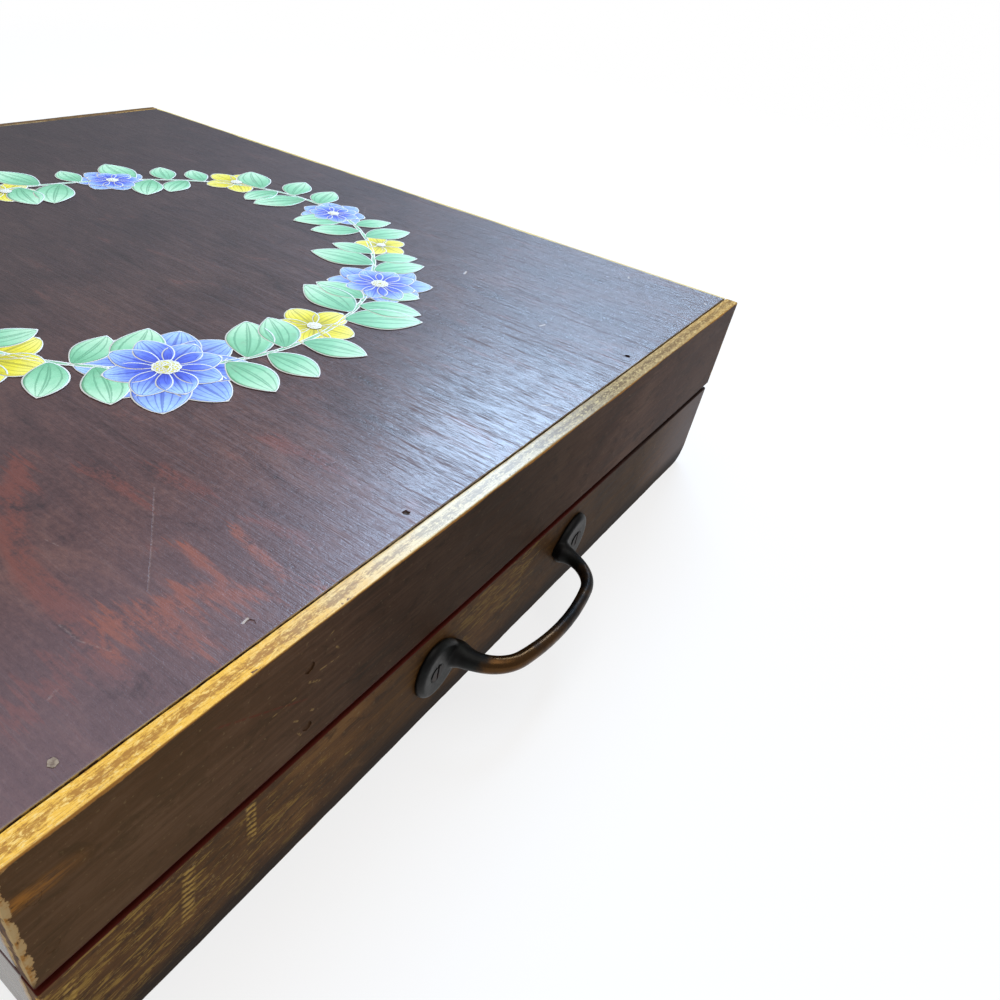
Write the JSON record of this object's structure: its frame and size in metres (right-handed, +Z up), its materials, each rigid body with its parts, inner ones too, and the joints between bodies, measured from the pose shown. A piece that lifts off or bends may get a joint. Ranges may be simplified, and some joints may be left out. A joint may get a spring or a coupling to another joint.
{
  "type": "sewing box",
  "caption": "Low wooden sewing box with a hinged lid, a bow handle on the front, a lift-out divided tray, spool pegs and swing hooks.",
  "frame": {"origin": "middle of the box's underside, without the handle and the hinges", "axes": "+X to the right along the front, +Y from the front with the handle to the hinged back, +Z up"},
  "size_m": [0.4032, 0.4904, 0.0945],
  "materials": {
    "stained_plywood": "worn dark varnish",
    "stained_wood": "worn dark varnish",
    "stained_panel": "satin varnish",
    "plain_plywood": "bare, aged",
    "red_stained_wood": "red-brown stain",
    "plain_wood": "bare, aged",
    "dowel_wood": "smooth, bare",
    "dark_bronze": "dark patina, rubbed copper-brown",
    "nail_steel": "dark, oxidised",
    "aged_brass": "aged, satin"
  },
  "bodies": {
    "base": {"base_front_board": "stained_plywood", "base_back_board": "stained_plywood", "base_left_end": "stained_wood", "base_right_end": "stained_wood", "base_bottom_panel": "plain_plywood", "liner_front": "red_stained_wood", "liner_back": "red_stained_wood", "liner_left": "red_stained_wood", "liner_right": "red_stained_wood", "cross_partition": "plain_wood", "bin_divider_left": "plain_wood", "bin_divider_right": "plain_wood", "tray_ledge_left": "plain_wood", "tray_ledge_right": "plain_wood", "handle_backing_block": "plain_wood", "spool_peg_board": "plain_wood", "spool_pegs": "dowel_wood", "base_board_nails": "nail_steel", "handle": "dark_bronze", "handle_screws": "dark_bronze", "base_hinge_leaf_left": "aged_brass", "base_hinge_leaf_right": "aged_brass", "hinge_pin_left": "aged_brass", "hinge_pin_right": "aged_brass", "base_hinge_screws": "aged_brass", "hook_pivot_screws": "aged_brass", "hook_washers": "aged_brass"},
    "lid": {"lid_front_board": "stained_plywood", "lid_back_board": "stained_plywood", "lid_left_end": "stained_wood", "lid_right_end": "stained_wood", "lid_top_panel": "stained_panel", "lid_front_cleat": "plain_wood", "lid_back_cleat": "plain_wood", "lid_batten_left": "plain_wood", "lid_batten_right": "plain_wood", "lid_front_posts": "plain_wood", "lid_glue_blocks": "plain_wood", "lid_top_nails": "nail_steel", "lid_board_nails": "nail_steel", "lid_hinge_leaf_left": "aged_brass", "lid_hinge_leaf_right": "aged_brass", "lid_hinge_screws": "aged_brass", "lid_studs": "aged_brass"},
    "hook_left": {"hook_left": "aged_brass"},
    "hook_right": {"hook_right": "aged_brass"},
    "tray": {"tray_front": "plain_wood", "tray_back": "plain_wood", "tray_left_wall": "plain_wood", "tray_right_wall": "plain_wood", "tray_floor_panel": "plain_wood", "tray_grip_divider": "plain_wood", "tray_divider_left": "plain_wood", "tray_divider_right": "plain_wood", "tray_divider_back": "plain_wood"}
  },
  "joints": [
    {"name": "lid_hinge", "type": "hinge", "parent": "base", "child": "lid", "pos_m": [0, 0.2318, 0.0475], "axis": [-1, 0, 0], "range_deg": [0, 180]},
    {"name": "tray_lift", "type": "slide", "parent": "base", "child": "tray", "axis": [0, 0, 1], "range_m": [0, 0.028]},
    {"name": "hook_left_swing", "type": "hinge", "parent": "base", "child": "hook_left", "pos_m": [-0.1988, -0.15, 0.035], "axis": [1, 0, 0], "range_deg": [0, 180]},
    {"name": "hook_right_swing", "type": "hinge", "parent": "base", "child": "hook_right", "pos_m": [0.1988, -0.15, 0.035], "axis": [1, 0, 0], "range_deg": [0, 180]}
  ]
}
